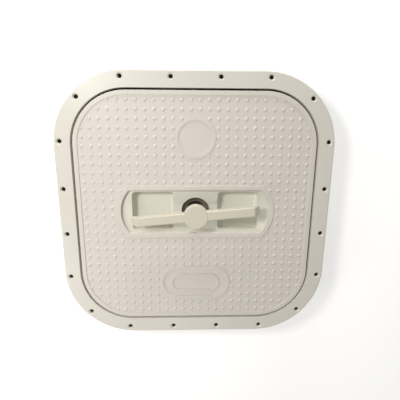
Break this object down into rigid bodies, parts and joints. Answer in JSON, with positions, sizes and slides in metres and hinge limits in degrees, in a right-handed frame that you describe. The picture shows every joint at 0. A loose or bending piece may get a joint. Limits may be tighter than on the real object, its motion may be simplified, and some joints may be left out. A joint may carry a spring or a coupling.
{
  "type": "hatch cover",
  "caption": "Square flush deck hatch with a lift-out studded lid, a raised T-handle over a finger recess and a locking bar underneath.",
  "frame": {"origin": "centre of the hatch on the deck surface, under the flange", "axes": "+Z out of the deck, +X along the handle recess, +Y towards the round raised outline"},
  "size_m": [0.375, 0.375, 0.0879],
  "materials": {
    "frame_moulding": "satin, slightly textured",
    "lid_moulding": "satin, studded tread",
    "pan_moulding": "satin",
    "handle_moulding": "satin",
    "seal_rubber": "matte",
    "gasket_foam": "matte",
    "bearing_plastic": "matte",
    "washer_plastic": "matte",
    "bar_plastic": "fine grain",
    "stainless": "polished"
  },
  "bodies": {
    "frame": {"mounting_frame": "frame_moulding"},
    "lid": {"lid_panel": "lid_moulding", "lid_seal": "seal_rubber", "handle_pan": "pan_moulding", "pan_gasket": "gasket_foam", "pan_screws": "stainless", "spindle_bush": "bearing_plastic", "flange_washer": "washer_plastic"},
    "lock": {"lock_sleeve": "bearing_plastic", "shaft_wiper": "seal_rubber", "shaft_o_ring": "seal_rubber", "sleeve_o_ring": "seal_rubber", "thrust_washer": "washer_plastic", "locking_bar": "bar_plastic", "ring_nut": "bearing_plastic"},
    "handle": {"t_handle": "handle_moulding", "hub_cap": "handle_moulding", "handle_shaft": "stainless", "hub_screw": "stainless", "drive_block": "stainless", "block_screw": "stainless"}
  },
  "joints": [
    {"name": "lid_lift", "type": "slide", "parent": "frame", "child": "lid", "axis": [0, 0, 1], "range_m": [0, 0.08]},
    {"name": "handle_turn", "type": "hinge", "parent": "lid", "child": "lock", "pos_m": [0, 0, 0], "axis": [0, 0, 1], "range_deg": [-5.15, 84.85]},
    {"name": "handle_lift", "type": "slide", "parent": "lock", "child": "handle", "axis": [0, 0, 1], "range_m": [-0.0145, 0]}
  ]
}
